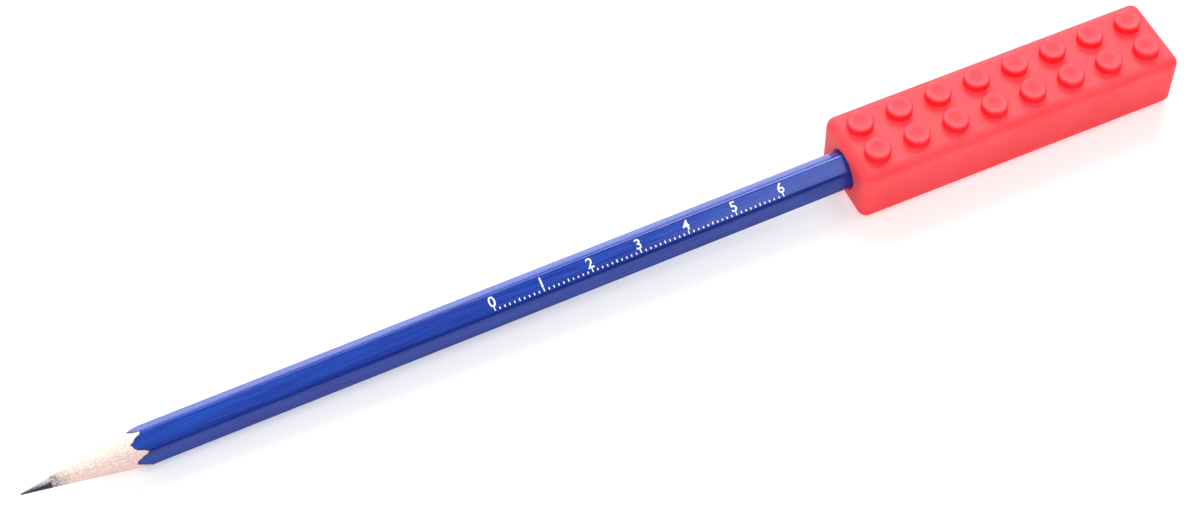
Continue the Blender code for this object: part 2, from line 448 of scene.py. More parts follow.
@dataclass(frozen=True)
class DippedLacquer:
    """Pencil lacquer in several thin coats: glossy, drawn out in streaks along the wood's grain."""

    deep_colour: str = "#152D8C"
    bright_colour: str = "#1D4AB2"
    # Painted light on the upper flat
    thin_colour: str = "#2A5CD8"
    # Painted shade on the lower side and its ridges
    ridge_colour: str = "#071E78"
    # Painted shade on the film's cut edge
    cut_colour: str = "#10184C"
    undercoat_colour: str = "#26377F"
    band_width: float = 0.48 * MM
    band_length: float = 24.0 * MM
    streak_width: float = 0.18 * MM
    streak_length: float = 7.0 * MM
    streak_depth: float = 0.006 * MM
    ridge_start: float = 3.56 * MM
    ridge_end: float = 3.84 * MM
    run_reach: float = 1.0 * MM
    thin_start: float = 2.9 * MM
    thin_end: float = 3.4 * MM
    layer: float = 0.12 * MM

    def make(self, lie: Matrix) -> Material:
        """Makes the material: streaks along it, painted light on top, painted shade below, darkest on
        ridges.

        Args:
            lie: How the pencil was laid.

        Returns:
            The finished material.
        """
        material, tree, shader, place = new_material("lacquer_dipped_gloss_blue", lie)
        wide = add_node(tree, "Mapping", {
            "Vector": place, "Scale": (1 / self.band_length, 1 / self.band_width, 1 / self.band_width),
        })
        band = add_node(tree, "TexNoise", {"Vector": wide, "Scale": 1.0, "Detail": 1.0})
        fine = add_node(tree, "Mapping", {
            "Vector": place, "Scale": (1 / self.streak_length, 1 / self.streak_width, 1 / self.streak_width),
        })
        streak = add_node(tree, "TexNoise", {"Vector": fine, "Scale": 1.0, "Detail": 2.0})
        depth = add_node(tree, "Math", {0: band, 1: streak}, operation="ADD")
        tone = add_node(tree, "MapRange", {"Value": depth, "From Min": 0.75, "From Max": 1.25})
        spoke = add_node(tree, "VectorMath", {0: place, 1: (0.0, 1.0, 1.0)}, operation="MULTIPLY")
        reach = add_node(tree, "VectorMath", {0: spoke}, operation="LENGTH")
        # Painted shade: some on all the lower side, most along its ridges
        ridge = add_node(tree, "MapRange", {
            "Value": reach,
            "From Min": self.ridge_start,
            "From Max": self.ridge_end,
            "To Min": 0.4,
            "To Max": 0.8,
        }, interpolation_type="SMOOTHSTEP")
        # Painted light makes the upper flat lighter; painted shade darkens the lower side, most along its
        # ridges
        across = add_node(tree, "VectorMath", {0: place, 1: UPPER_BACK}, operation="DOT_PRODUCT")
        flat_light = add_node(tree, "MapRange", {
            "Value": across, "From Min": self.thin_start, "From Max": self.thin_end, "To Max": 0.4,
        })
        low_shade = add_node(tree, "MapRange", {
            "Value": across, "From Min": self.run_reach, "From Max": -self.run_reach,
        })
        ridge_and_low_shade = add_node(tree, "Math", {0: ridge, 1: low_shade}, operation="MULTIPLY")
        # The streaks are the lacquer's own tone; the other two tints are painted light and painted shade
        colour = self.deep_colour
        coats = ((tone, self.bright_colour), (flat_light, self.thin_colour), (ridge_and_low_shade, self.ridge_colour))
        for share, tint in coats:
            colour = add_node(tree, "Mix", {"Factor": share, MIX_A: colour, MIX_B: tint}, data_type="RGBA")
        bump = add_node(tree, "Bump", {"Height": streak, "Distance": self.streak_depth, "Strength": 0.6})
        gloss = add_node(tree, "MapRange", {
            "Value": depth, "From Min": 0.7, "From Max": 1.3, "To Min": 0.12, "To Max": 0.20,
        })
        set_inputs(shader, {
            "Base Color": colour,
            "Roughness": gloss,
            "Normal": bump,
            "IOR": 1.45,
            "Specular IOR Level": 0.42,
        })
        return material

    def make_cut(self, lie: Matrix) -> Material:
        """Makes the finish of the cut edge, painted dark as shade along the film's edge, flecked as the
        blade left it.

        Args:
            lie: How the pencil was laid.

        Returns:
            The finished material.
        """
        material, tree, shader, place = new_material("lacquer_cut_edge_navy", lie)
        chip = add_node(tree, "TexNoise", {"Vector": place, "Scale": 1 / self.layer, "Detail": 2.0})
        tone = add_node(tree, "MapRange", {"Value": chip, "From Min": 0.45, "From Max": 0.75})
        colour = add_node(tree, "Mix", {
            "Factor": tone, MIX_A: self.cut_colour, MIX_B: self.undercoat_colour,
        }, data_type="RGBA")
        set_inputs(shader, {"Base Color": colour, "Roughness": 0.6, "IOR": 1.5})
        return material


@dataclass(frozen=True)
class SharpenedBasswood:
    """Freshly sharpened softwood: matt cream, flecked where it was cut across pores, grey by the lead."""

    cream_colour: str = "#F6E7D7"
    # Pink of the flecks, and the painted shade on the lower side
    pink_colour: str = "#E4C2C0"
    pore_colour: str = "#C9A09A"
    smudge_colour: str = "#5C5661"
    fleck: float = 0.34 * MM
    fleck_depth: float = 0.02 * MM
    fibre_width: float = 0.25 * MM
    fibre_length: float = 3.5 * MM
    heart_reach: float = 2.2 * MM
    smudge_length: float = 5.5 * MM

    def make(self, lie: Matrix, lead_end: float) -> Material:
        """Makes the material.

        Args:
            lie: How the pencil was laid.
            lead_end: Where, along the pencil, the bare lead goes into the wood and has smudged it.

        Returns:
            The finished material.
        """
        material, tree, shader, place = new_material("basswood_sharpened_bare", lie)
        drawn = add_node(tree, "Mapping", {
            "Vector": place, "Scale": (1 / self.fibre_length, 1 / self.fibre_width, 1 / self.fibre_width),
        })
        fibre = add_node(tree, "TexNoise", {"Vector": drawn, "Scale": 1.0, "Detail": 3.0})
        fleck = add_node(tree, "TexNoise", {"Vector": place, "Scale": 1 / self.fleck, "Detail": 2.0})
        blush = add_node(tree, "MapRange", {"Value": fleck, "From Min": 0.40, "From Max": 0.62})
        # Painted shade: the wood turns pinker and darker towards its lower side
        across = add_node(tree, "VectorMath", {0: place, 1: UPPER_BACK}, operation="DOT_PRODUCT")
        pink_shade = add_node(tree, "MapRange", {
            "Value": across,
            "From Min": self.heart_reach,
            "From Max": -self.heart_reach,
            "To Min": -0.45,
            "To Max": 0.55,
        })
        pinkness_and_shade = add_node(tree, "Math", {0: blush, 1: pink_shade}, operation="ADD", use_clamp=True)
        pore = add_node(tree, "MapRange", {
            "Value": fibre, "From Min": 0.58, "From Max": 0.74, "To Max": 0.7,
        })
        # The smudge fades with the square of the way from the lead, and the raised flecks caught most of it
        axes = add_node(tree, "SeparateXYZ", {"Vector": place})
        nearness = add_node(tree, "MapRange", {
            "Value": axes.outputs["X"],
            "From Min": lead_end,
            "From Max": lead_end + self.smudge_length,
            "To Min": 1.06,
            "To Max": 0.0,
        })
        fading = add_node(tree, "Math", {0: nearness, 1: nearness}, operation="MULTIPLY")
        caught = add_node(tree, "MapRange", {
            "Value": fleck, "From Min": 0.38, "From Max": 0.62, "To Min": 0.45,
        })
        rubbed = add_node(tree, "Math", {0: fading, 1: caught}, operation="MULTIPLY")
        colour = self.cream_colour
        stains = ((pinkness_and_shade, self.pink_colour), (pore, self.pore_colour), (rubbed, self.smudge_colour))
        for share, tint in stains:
            colour = add_node(tree, "Mix", {"Factor": share, MIX_A: colour, MIX_B: tint}, data_type="RGBA")
        bump = add_node(tree, "Bump", {"Height": fleck, "Distance": self.fleck_depth, "Strength": 0.8})
        set_inputs(shader, {"Base Color": colour, "Normal": bump, "Roughness": 0.8, "IOR": 1.5})
        return material


@dataclass(frozen=True)
class FiredGraphite:
    """Graphite and clay, fired and waxed: a soft metallic sheen in the sharpener's rings, painted lighter on
    top.
    """

    dark_colour: str = "#2C2C35"
    light_colour: str = "#CCCCD6"
    ring: float = 0.25 * MM
    ring_draw: float = 0.3
    scratch_depth: float = 0.008 * MM
    rubbed_start: float = -0.18 * MM
    rubbed_end: float = 0.6 * MM

    def make(self, lie: Matrix) -> Material:
        """Makes the material, whose rings run round the pencil, which was laid as the matrix says."""
        material, tree, shader, place = new_material("graphite_fired_satin", lie)
        round_scale = self.ring_draw / self.ring
        drawn = add_node(tree, "Mapping", {
            "Vector": place, "Scale": (1 / self.ring, round_scale, round_scale),
        })
        ring = add_node(tree, "TexNoise", {"Vector": drawn, "Scale": 1.0, "Detail": 3.0})
        # Painted light: the rings are light on the upper side and dark underneath
        across = add_node(tree, "VectorMath", {0: place, 1: UPPER_BACK}, operation="DOT_PRODUCT")
        upper_light = add_node(tree, "MapRange", {
            "Value": across, "From Min": self.rubbed_start, "From Max": self.rubbed_end,
        })
        tone = add_node(tree, "Math", {0: ring, 1: upper_light}, operation="MULTIPLY")
        bright = add_node(tree, "MapRange", {"Value": tone, "From Min": 0.10, "From Max": 0.46})
        colour = add_node(tree, "Mix", {
            "Factor": bright, MIX_A: self.dark_colour, MIX_B: self.light_colour,
        }, data_type="RGBA")
        bump = add_node(tree, "Bump", {"Height": ring, "Distance": self.scratch_depth, "Strength": 0.8})
        set_inputs(shader, {"Base Color": colour, "Normal": bump, "Metallic": 0.4, "Roughness": 0.42})
        return material


@dataclass(frozen=True)
class StampedFoil:
    """White pigment foil, hot-stamped: opaque, satin, with a few pinholes where it did not take."""

    white_colour: str = "#F6F7FB"
    thin_colour: str = "#C3CCEC"
    pinhole: float = 0.30 * MM

    def make(self) -> Material:
        """Makes the material."""
        material, tree, shader, place = new_material("foil_stamped_white")
        take = add_node(tree, "TexNoise", {"Vector": place, "Scale": 1 / self.pinhole, "Detail": 2.0})
        thin = add_node(tree, "MapRange", {"Value": take, "From Min": 0.55, "From Max": 0.72})
        colour = add_node(tree, "Mix", {
            "Factor": thin, MIX_A: self.white_colour, MIX_B: self.thin_colour,
        }, data_type="RGBA")
        set_inputs(shader, {"Base Color": colour, "Roughness": 0.45})
        return material


@dataclass(frozen=True)
class MattPaper:
    """Matt paper over a light table: white by the light that it lets through, with a faint tooth."""

    paper_colour: str = "#E7E7E7"
    shade_colour: str = "#E4E4E4"
    light_colour: str = "#FFFFFF"
    tooth: float = 0.6 * MM
    glow: float = 0.295

    def make(self) -> Material:
        """Makes the material."""
        material, tree, shader, place = new_material("paper_matt_white")
        tooth = add_node(tree, "TexNoise", {"Vector": place, "Scale": 1 / self.tooth})
        colour = add_node(tree, "Mix", {
            "Factor": tooth, MIX_A: self.paper_colour, MIX_B: self.shade_colour,
        }, data_type="RGBA")
        set_inputs(shader, {
            "Base Color": colour,
            "Roughness": 0.9,
            "Specular IOR Level": 0.0,
            "Emission Color": self.light_colour,
            "Emission Strength": self.glow,
        })
        return material


@dataclass
class HangingAxis:
    """The axis that the pencil and the socket share, through the middle of the socket's mouth."""

    socket_height: float = 6.5 * MM

    def __post_init__(self) -> None:
        """Works out the mouth's middle, and what takes a place along X from there to the hanging axis."""
        low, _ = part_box("topper_body")
        pull = Vector(frame["joints"][0]["axis"])
        self.mouth = Vector((low.x, 0.0, low.z + self.socket_height))
        self.lie = Matrix.Translation(self.mouth) @ Matrix.Rotation(-math.atan2(pull.z, pull.x), 4, "Y")


@dataclass
class StuddedTopper:
    """The soft moulding: a rounded block with rows of dished studs on top and a blind socket in its end."""

    edge_radius: float = 2.0 * MM
    edge_segments: int = 10
    studs_long: int = 8
    studs_across: int = 2
    stud_radius: float = 2.6 * MM
    stud_height: float = 1.8 * MM
    stud_pitch: float = 8.5 * MM
    stud_row_pitch: float = 7.1 * MM
    stud_root: float = 1.0 * MM
    stud_sides: int = 64
    rim_radius: float = 0.45 * MM
    rim_segments: int = 6
    rim_width: float = 0.70 * MM
    dish_depth: float = 0.16 * MM
    dish_rings: int = 8
    dish_softness: float = 0.20 * MM
    dish_segments: int = 3
    foot_radius: float = 0.35 * MM
    foot_segments: int = 4
    socket_radius: float = 3.99 * MM
    socket_depth: float = 24.3 * MM
    socket_sides: int = 96
    lip_radius: float = 0.5 * MM
    lip_segments: int = 6
    floor_radius: float = 0.6 * MM
    floor_segments: int = 4
    flash_width: float = 0.10 * MM
    flash_height: float = 0.05 * MM
    flash_segments: int = 2
    axis: HangingAxis = field(default_factory=HangingAxis)
    finish: MouldedSilicone = field(default_factory=MouldedSilicone)

    def __post_init__(self) -> None:
        """Takes the block's place from the frame."""
        self.low, self.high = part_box("topper_body")
        self.block_top = self.high.z - self.stud_height

    def stud_places(self) -> list[Vector]:
        """Works out where the studs' axes cross the block's top, row by row."""
        middle = (self.low + self.high) / 2
        first_x = middle.x - self.stud_pitch * (self.studs_long - 1) / 2
        first_y = middle.y - self.stud_row_pitch * (self.studs_across - 1) / 2
        columns = [first_x + self.stud_pitch * number for number in range(self.studs_long)]
        rows = [first_y + self.stud_row_pitch * number for number in range(self.studs_across)]
        return [Vector((x, y, self.block_top)) for y in rows for x in columns]

    def at_mouth(self, point: Vector) -> bool:
        """Says whether a point lies where the socket breaks through the block's end."""
        on_end = close_to(point.x, self.low.x)
        return on_end and close_to((point - self.axis.mouth).length, self.socket_radius, NEAR)

    def block(self) -> Object:
        """Models the block with its rounded edges, without studs or socket."""
        top = Vector((self.high.x, self.high.y, self.block_top))
        cube = bpy.ops.mesh.primitive_cube_add
        middle = (self.low + top) / 2
        block = start_shape("topper_moulding", cube, size=1.0, location=middle, scale=top - self.low)
        with edit_mode(block):
            pick(block, Pick.EDGES, lambda edge: True)
            round_edges(self.edge_radius, self.edge_segments)
        return block

    def stud(self, place: Vector) -> Object:
        """Models one stud with a rounded rim and a shallow dish.

        Args:
            place: Where the stud's axis crosses the block's top.

        Returns:
            The stud, with a root that reaches into the block.
        """
        depth = self.stud_root + self.stud_height
        stud = start_shape(
            "stud",
            bpy.ops.mesh.primitive_cylinder_add,
            vertices=self.stud_sides,
            radius=self.stud_radius,
            depth=depth,
            location=place + Vector((0.0, 0.0, self.stud_height - depth / 2)),
        )

        def ring_at(radius: float, height: float) -> Callable[[Vector], bool]:
            """Makes a test for points on a level ring round the stud's axis."""
            return lambda point: close_to((point - place).xy.length, radius) and close_to(point.z, height)

        inner = self.stud_radius * math.cos(math.pi / self.stud_sides) - self.rim_width
        step = inner / (self.dish_rings + 1)
        dish_edge = inner / math.cos(math.pi / self.stud_sides)
        with edit_mode(stud):
            pick(stud, Pick.FACES, lambda face: close_to(face.calc_center_median().z, self.high.z))
            bpy.ops.mesh.inset(thickness=self.rim_width)
            for ring in range(self.dish_rings):
                # A bowl's slope falls off evenly towards its middle
                slope = 2 * self.dish_depth / inner * (1 - (ring + 0.5) / (self.dish_rings + 1))
                bpy.ops.mesh.inset(thickness=step, depth=-slope * step)
            pick_edges(stud, ring_at(self.stud_radius, self.high.z))
            round_edges(self.rim_radius, self.rim_segments)
            pick_edges(stud, ring_at(dish_edge, self.high.z))
            round_edges(self.dish_softness, self.dish_segments)
        return stud

    def stud_field(self) -> Object:
        """Models the first stud and copies it to all the other places."""
        places = self.stud_places()
        first = self.stud(places[0])
        return join([first] + [copy_to(first, place - places[0]) for place in places[1:]])

    def at_stud_foot(self, point: Vector) -> bool:
        """Says whether a point lies where a stud's side meets the block's top."""
        if not close_to(point.z, self.block_top):
            return False
        spokes = [(point - place).xy.length for place in self.stud_places()]
        return any(close_to(spoke, self.stud_radius, NEAR) for spoke in spokes)

    def socket_space(self) -> Object:
        """Models what cuts the socket, which starts outside the block and hangs as the pencil does."""
        outside = self.edge_radius
        space = start_shape(
            "socket_space",
            bpy.ops.mesh.primitive_cylinder_add,
            vertices=self.socket_sides,
            radius=self.socket_radius,
            depth=self.socket_depth + outside,
            location=((self.socket_depth - outside) / 2, 0.0, 0.0),
            rotation=(0.0, QUARTER_TURN, 0.0),
        )
        with edit_mode(space):
            pick_edges(space, lambda point: close_to(point.x, self.socket_depth))
            round_edges(self.floor_radius, self.floor_segments)
        space.data.transform(self.axis.lie)
        return space

    def raise_flash_line(self, moulding: Object) -> None:
        """Raises the fine line that the mould's two halves left along both sides and round the far end."""
        side = self.high.y - self.edge_radius
        start = self.low.x + self.edge_radius

        def on_line(point: Vector) -> bool:
            """Says whether a point lies on the mould's parting line, clear of the mouth's round corners."""
            outside = abs(point.y) > side - TOUCHING or close_to(point.x, self.high.x)
            return close_to(point.z, self.axis.mouth.z) and point.x > start - TOUCHING and outside

        with edit_mode(moulding):
            slice_at(self.axis.mouth, Vector((0.0, 0.0, 1.0)))
            pick_edges(moulding, on_line)
            round_edges(self.flash_width, self.flash_segments)
            pick(moulding, Pick.CORNERS, lambda corner: on_line(corner.co))
            bpy.ops.transform.shrink_fatten(value=self.flash_height)

    def build(self) -> Object:
        """Models and dresses the moulding.

        Returns:
            The moulding, on its body and in its node's stead.
        """
        moulding = self.block()
        combine(moulding, self.stud_field(), Combine.JOIN)
        with edit_mode(moulding):
            pick_edges(moulding, self.at_stud_foot)
            round_edges(self.foot_radius, self.foot_segments)
        combine(moulding, self.socket_space(), Combine.CUT)
        with edit_mode(moulding):
            pick_edges(moulding, self.at_mouth)
            round_edges(self.lip_radius, self.lip_segments)
        self.raise_flash_line(moulding)
        shade_soft(moulding)
        rim_top = self.high.z
        finish = self.finish.make(
            self.block_top, rim_top - self.rim_radius, rim_top - self.dish_depth, rim_top
        )
        return dress(moulding, [finish], "topper", "topper_body")


@dataclass
class HexagonPencil:
    """A pencil in four layers, the lacquer, two glued slats and the lead, all sharpened to one cone."""

    length: float = 190.0 * MM
    seated: float = 24.0 * MM
    across_flats: float = 7.0 * MM
    corner_radius: float = 1.0 * MM
    corner_segments: int = 6
    seam_tilt: float = math.radians(21.3)
    seam_gap: float = 0.10 * MM
    cone_half_angle: float = math.radians(8.8)
    tip_radius: float = 0.18 * MM
    overrun: float = 1.0 * MM
    lacquer_thickness: float = 0.06 * MM
    lacquer_spare: float = 4.0 * MM
    lacquer_crease: float = math.radians(25)
    lacquer_blade: tuple[int, int] = (288, 56)
    blade_inside: float = 0.5 * MM
    blade_outside: float = 0.3 * MM
    cut_slope: float = 0.02
    step_width: float = 0.62 * MM
    step_count: float = 3.0
    step_height: float = 0.075 * MM
    tooth_width: float = 0.22 * MM
    tooth_height: float = 0.018 * MM
    casing_inset: float = 0.07 * MM
    casing_crease: float = math.radians(35)
    casing_blade: tuple[int, int] = (192, 90)
    casing_tip_radius: float = 0.6 * MM
    groove_radius: float = 1.05 * MM
    groove_sides: int = 48
    fibre_width: float = 0.30 * MM
    fibre_draw: float = 0.12
    fibre_height: float = 0.016 * MM
    ring_pitch: float = 0.55 * MM
    ring_height: float = 0.004 * MM
    lead_radius: float = 1.0 * MM
    lead_crease: float = math.radians(30)
    lead_blade: tuple[int, int] = (72, 40)
    point_share: float = 0.8
    point_rounding: float = 0.6
    point_segments: int = 4
    axis: HangingAxis = field(default_factory=HangingAxis)
    lacquer_finish: DippedLacquer = field(default_factory=DippedLacquer)
    casing_finish: SharpenedBasswood = field(default_factory=SharpenedBasswood)
    lead_finish: FiredGraphite = field(default_factory=FiredGraphite)

    def __post_init__(self) -> None:
        """Works out where the pencil's tip and end lie from the mouth, how it is rolled, and its cone."""
        self.tip = self.seated - self.length
        self.end = self.seated
        self.roll = Matrix.Rotation(self.seam_tilt, 3, "X")
        self.along_x = (self.roll @ Matrix.Rotation(QUARTER_TURN, 3, "Y")).to_euler()
        self.corner_reach = self.across_flats / 2 / math.cos(HALF_SIDE)
        flank = self.tip_radius * math.cos(self.cone_half_angle)
        flank_place = self.tip + self.tip_radius * (1 - math.sin(self.cone_half_angle))
        self.apex = flank_place - flank / math.tan(self.cone_half_angle)

    def cone_place(self, radius: float) -> float:
        """Works out where, along X, the sharpener's cone has a radius."""
        return self.apex + radius / math.tan(self.cone_half_angle)

    def stock(self, name: str, inset: float, start: float, end: float) -> Object:
        """Models a length of hexagonal bar with rounded corners.

        Args:
            name: The piece's name.
            inset: How far its sides lie inside the pencil's.
            start: Where it starts along X.
            end: Where it ends along X.

        Returns:
            The bar, closed at both ends.
        """
        bar = start_shape(
            name,
            bpy.ops.mesh.primitive_cylinder_add,
            vertices=HEXAGON,
            radius=(self.across_flats / 2 - inset) / math.cos(HALF_SIDE),
            depth=end - start,
            location=((start + end) / 2, 0.0, 0.0),
            rotation=self.along_x,
        )
        with edit_mode(bar):
            pick(bar, Pick.EDGES, lambda edge: edge.calc_length() > (end - start) / 2)
            round_edges((self.corner_radius - inset) * math.tan(HALF_SIDE), self.corner_segments)
        return bar

    def cone_and_bar(self, name: str, radii: Span, ends: Span, counts: tuple[int, int]) -> Object:
        """Models a cone that goes straight on as a round bar.

        Args:
            name: The piece's name.
            radii: The radius where the cone starts, and where it goes straight on.
            ends: Where the cone starts and the bar ends along X.
            counts: How many sides it has, and how many rings divide the cone's flank.

        Returns:
            The cone with its bar, closed at both ends.
        """
        start, end = ends
        stop = self.cone_place(radii[1])
        cone = start_shape(
            name,
            bpy.ops.mesh.primitive_cone_add,
            vertices=counts[0],
            radius1=radii[0],
            radius2=radii[1],
            depth=stop - start,
            location=((start + stop) / 2, 0.0, 0.0),
            rotation=(0.0, QUARTER_TURN, 0.0),
        )
        with edit_mode(cone):
            pick(cone, Pick.EDGES, lambda edge: not close_to(edge.verts[0].co.x, edge.verts[1].co.x))
            bpy.ops.mesh.subdivide(number_cuts=counts[1])
            pick(cone, Pick.FACES, lambda face: close_to(face.calc_center_median().x, stop))
            bpy.ops.mesh.extrude_region_move(TRANSFORM_OT_translate={"value": (end - stop, 0.0, 0.0)})
        return cone

    def sharpener_space(self, radii: Span, blade: tuple[int, int], unevenness: Unevenness) -> Object:
        """Models the space inside the sharpener's cone, which goes straight on past the pencil's end.

        Args:
            radii: The cone's radius where it starts, and where it goes straight on.
            blade: How many sides it has, and how many rings divide its flank.
            unevenness: Takes a point of the flank and its angle, and gives how far out the point moves.

        Returns:
            A closed tool that trims what the sharpener left.
        """
        ends = (self.cone_place(radii[0]), self.end + self.overrun)
        space = self.cone_and_bar("sharpener_space", radii, ends, blade)
        for corner in space.data.vertices:
            spoke = Vector((0.0, corner.co.y, corner.co.z))
            if spoke.length > TOUCHING:
                angle = math.atan2(spoke.z, spoke.y)
                corner.co += spoke.normalized() * unevenness(corner.co, angle)
        return space

    def around(self, angle: float) -> Vector:
        """Works out the place at an angle on a circle as wide as the pencil."""
        return Vector((math.cos(angle), math.sin(angle), 0.0)) * self.across_flats / 2

    def torn_edge(self, point: Vector, angle: float) -> float:
        """How unevenly the blade left the lacquer: in small steps, with a fine tooth on them."""
        around = self.around(angle)
        steps = round(self.step_count * noise.noise(around / self.step_width)) / self.step_count
        tooth = noise.noise(Vector((around.x, around.y, point.x)) / self.tooth_width)
        return steps * self.step_height + tooth * self.tooth_height

    def tool_marks(self, point: Vector, angle: float) -> float:
        """How unevenly the blade left the wood: raised fibres along it and faint rings round it."""
        around = self.around(angle)
        fibre = noise.noise(Vector((around.x, around.y, point.x * self.fibre_draw)) / self.fibre_width)
        ring = math.sin(math.tau * point.x / self.ring_pitch + angle)
        return fibre * self.fibre_height + ring * self.ring_height

    def lacquer(self) -> Object:
        """Models the lacquer as a thin shell, its edge torn in scallops and painted with shade where it was
        cut.
        """
        start = self.cone_place(self.across_flats / 2) - self.lacquer_spare
        film = self.stock("lacquer_film", 0.0, start, self.end)
        with edit_mode(film):
            pick(film, Pick.FACES, lambda face: abs(face.normal.x) > face.normal.yz.length)
            bpy.ops.mesh.delete(type="FACE")
        apply_modifier(film, "SOLIDIFY", thickness=self.lacquer_thickness, offset=-1.0, use_even_offset=True)
        radii = (self.across_flats / 2 - self.blade_inside, self.corner_reach + self.blade_outside)
        combine(film, self.sharpener_space(radii, self.lacquer_blade, self.torn_edge), Combine.TRIM)
        shade_creased(film, self.lacquer_crease)
        lie = self.axis.lie
        finishes = [self.lacquer_finish.make(lie), self.lacquer_finish.make_cut(lie)]
        dress(film, finishes, "pencil", "lacquer_coat")
        # The cut faces take the finish painted dark as shade along the film's edge
        for face in film.data.polygons:
            face.material_index = int(face.normal.x < -self.cut_slope)
        with edit_mode(film):
            pick(film, Pick.EDGES, lambda edge: len({face.material_index for face in edge.link_faces}) == 2)
            bpy.ops.mesh.mark_sharp()
        film.data.transform(lie)
        return film

    def casing(self, half: Half) -> Object:
        """Models one grooved slat on its side of the glue seam, sharpened with tool marks, and dresses it.

        Args:
            half: Which slat it is.

        Returns:
            The slat, on its body and in its node's stead.
        """
        side = half.name.lower()
        slat = self.stock(f"{side}_casing", self.casing_inset, self.tip, self.end)
        seam_normal = self.roll @ Vector((0.0, 0.0, half.value))
        with edit_mode(slat):
            slice_at(seam_normal * self.seam_gap / 2, seam_normal, keep_front=True)
        groove = start_shape(
            "lead_groove",
            bpy.ops.mesh.primitive_cylinder_add,
            vertices=self.groove_sides,
            radius=self.groove_radius,
            depth=self.end - self.tip + 2 * self.overrun,
            location=((self.tip + self.end) / 2, 0.0, 0.0),
            rotation=self.along_x,
        )
        combine(slat, groove, Combine.CUT)
        radii = (self.casing_tip_radius, self.corner_reach)
        combine(slat, self.sharpener_space(radii, self.casing_blade, self.tool_marks), Combine.TRIM)
        shade_creased(slat, self.casing_crease)
        slat.data.transform(self.axis.lie)
        finish = self.casing_finish.make(self.axis.lie, self.cone_place(self.groove_radius))
        return dress(slat, [finish], "pencil", f"{side}_slat")

    def lead(self) -> Object:
        """Models the lead with its worn point, and dresses it."""
        point_radius = self.tip_radius * self.point_share
        radii = (point_radius, self.lead_radius)
        lead = self.cone_and_bar("lead", radii, (self.tip, self.end), self.lead_blade)
        with edit_mode(lead):
            pick_edges(lead, lambda place: close_to(place.x, self.tip))
            round_edges(point_radius * self.point_rounding, self.point_segments)
        shade_creased(lead, self.lead_crease)
        lead.data.transform(self.axis.lie)
        return dress(lead, [self.lead_finish.make(self.axis.lie)], "pencil", "graphite_core")


@dataclass
class StampedScale:
    """A plain scale of lines and numbers, stamped in foil on the pencil's face below its upper ridge."""

    start: float = -74.0 * MM
    long_marks: int = 6
    mark_pitch: float = 1.0 * MM
    marks_per_long: int = 10
    mark_width: float = 0.22 * MM
    short_mark: float = 0.45 * MM
    middle_mark: float = 0.60 * MM
    long_mark: float = 0.75 * MM
    edge_segments: int = 2
    numeral_height: float = 2.0 * MM
    numeral_share: float = 0.7
    numeral_gap: float = 0.12 * MM
    stroke_gain: float = 0.03 * MM
    foil_rise: float = 0.012 * MM
    foil_root: float = 0.030 * MM
    finish: StampedFoil = field(default_factory=StampedFoil)

    def face_frame(self, pencil: HexagonPencil) -> Matrix:
        """Works out the frame of the stamped face: X along the pencil, Y up the face, Z out of it.

        Args:
            pencil: The pencil that carries the scale.

        Returns:
            A matrix that takes the scale's own places to the world.
        """
        turn = pencil.seam_tilt
        outward = Vector((0.0, -math.sin(turn), math.cos(turn)))
        upward = Vector((0.0, math.cos(turn), math.sin(turn)))
        centre = Vector((self.start, 0.0, 0.0)) + outward * pencil.across_flats / 2
        columns = (Vector((1.0, 0.0, 0.0)), upward, outward)
        return pencil.axis.lie @ Matrix.Translation(centre) @ Matrix(columns).transposed().to_4x4()

    def mark(self, number: int, foot: float) -> Object:
        """Models one line of the scale, lying flat at the origin's plane.

        Args:
            number: Its number from the start of the scale.
            foot: How far down the face it starts.

        Returns:
            A thin slab with eased edges.
        """
        if number % self.marks_per_long == 0:
            length = self.long_mark
        elif number % (self.marks_per_long // 2) == 0:
            length = self.middle_mark
        else:
            length = self.short_mark
        thickness = self.foil_rise + self.foil_root
        line = start_shape(
            "scale_mark",
            bpy.ops.mesh.primitive_cube_add,
            size=1.0,
            location=(number * self.mark_pitch, foot + length / 2, self.foil_rise - thickness / 2),
            scale=(self.mark_width, length, thickness),
        )
        with edit_mode(line):
            pick_edges(line, lambda point: close_to(point.z, self.foil_rise))
            round_edges(self.foil_rise / 2, self.edge_segments)
        return line

    def numeral(self, number: int, foot: float) -> Object:
        """Models one numeral as a thin raised plate over its long line."""
        bpy.ops.object.select_all(action="DESELECT")
        bpy.ops.object.text_add(location=(0.0, 0.0, 0.0))
        text = bpy.context.view_layer.objects.active
        text.data.body = str(number)
        text.data.align_x = "CENTER"
        text.data.size = self.numeral_height / self.numeral_share
        text.data.extrude = (self.foil_rise + self.foil_root) / 2
        text.data.offset = self.stroke_gain
        middle = number * self.marks_per_long * self.mark_pitch
        text.location = (middle, foot, self.foil_rise - text.data.extrude)
        select_only(text)
        bpy.ops.object.convert(target="MESH")
        plate = settle("scale_numeral")
        with edit_mode(plate):
            bpy.ops.mesh.select_all(action="SELECT")
            bpy.ops.mesh.remove_doubles(threshold=TOUCHING / 2)
            bpy.ops.mesh.normals_make_consistent(inside=False)
        return plate

    def build(self, pencil: HexagonPencil) -> Object:
        """Models all the lines and numbers on the pencil's face, and dresses them.

        Args:
            pencil: The pencil that carries the scale.

        Returns:
            The scale, as one piece on the pencil's body.
        """
        height = self.long_mark + self.numeral_gap + self.numeral_height
        foot = -height / 2
        lines = [self.mark(number, foot) for number in range(self.long_marks * self.marks_per_long + 1)]
        over = foot + self.long_mark + self.numeral_gap
        numerals = [self.numeral(number, over) for number in range(self.long_marks + 1)]
        scale = join(lines + numerals)
        scale.name = "foil_scale"
        scale.data.name = "foil_scale"
        scale.data.transform(self.face_frame(pencil))
        return dress(scale, [self.finish.make()], "pencil")


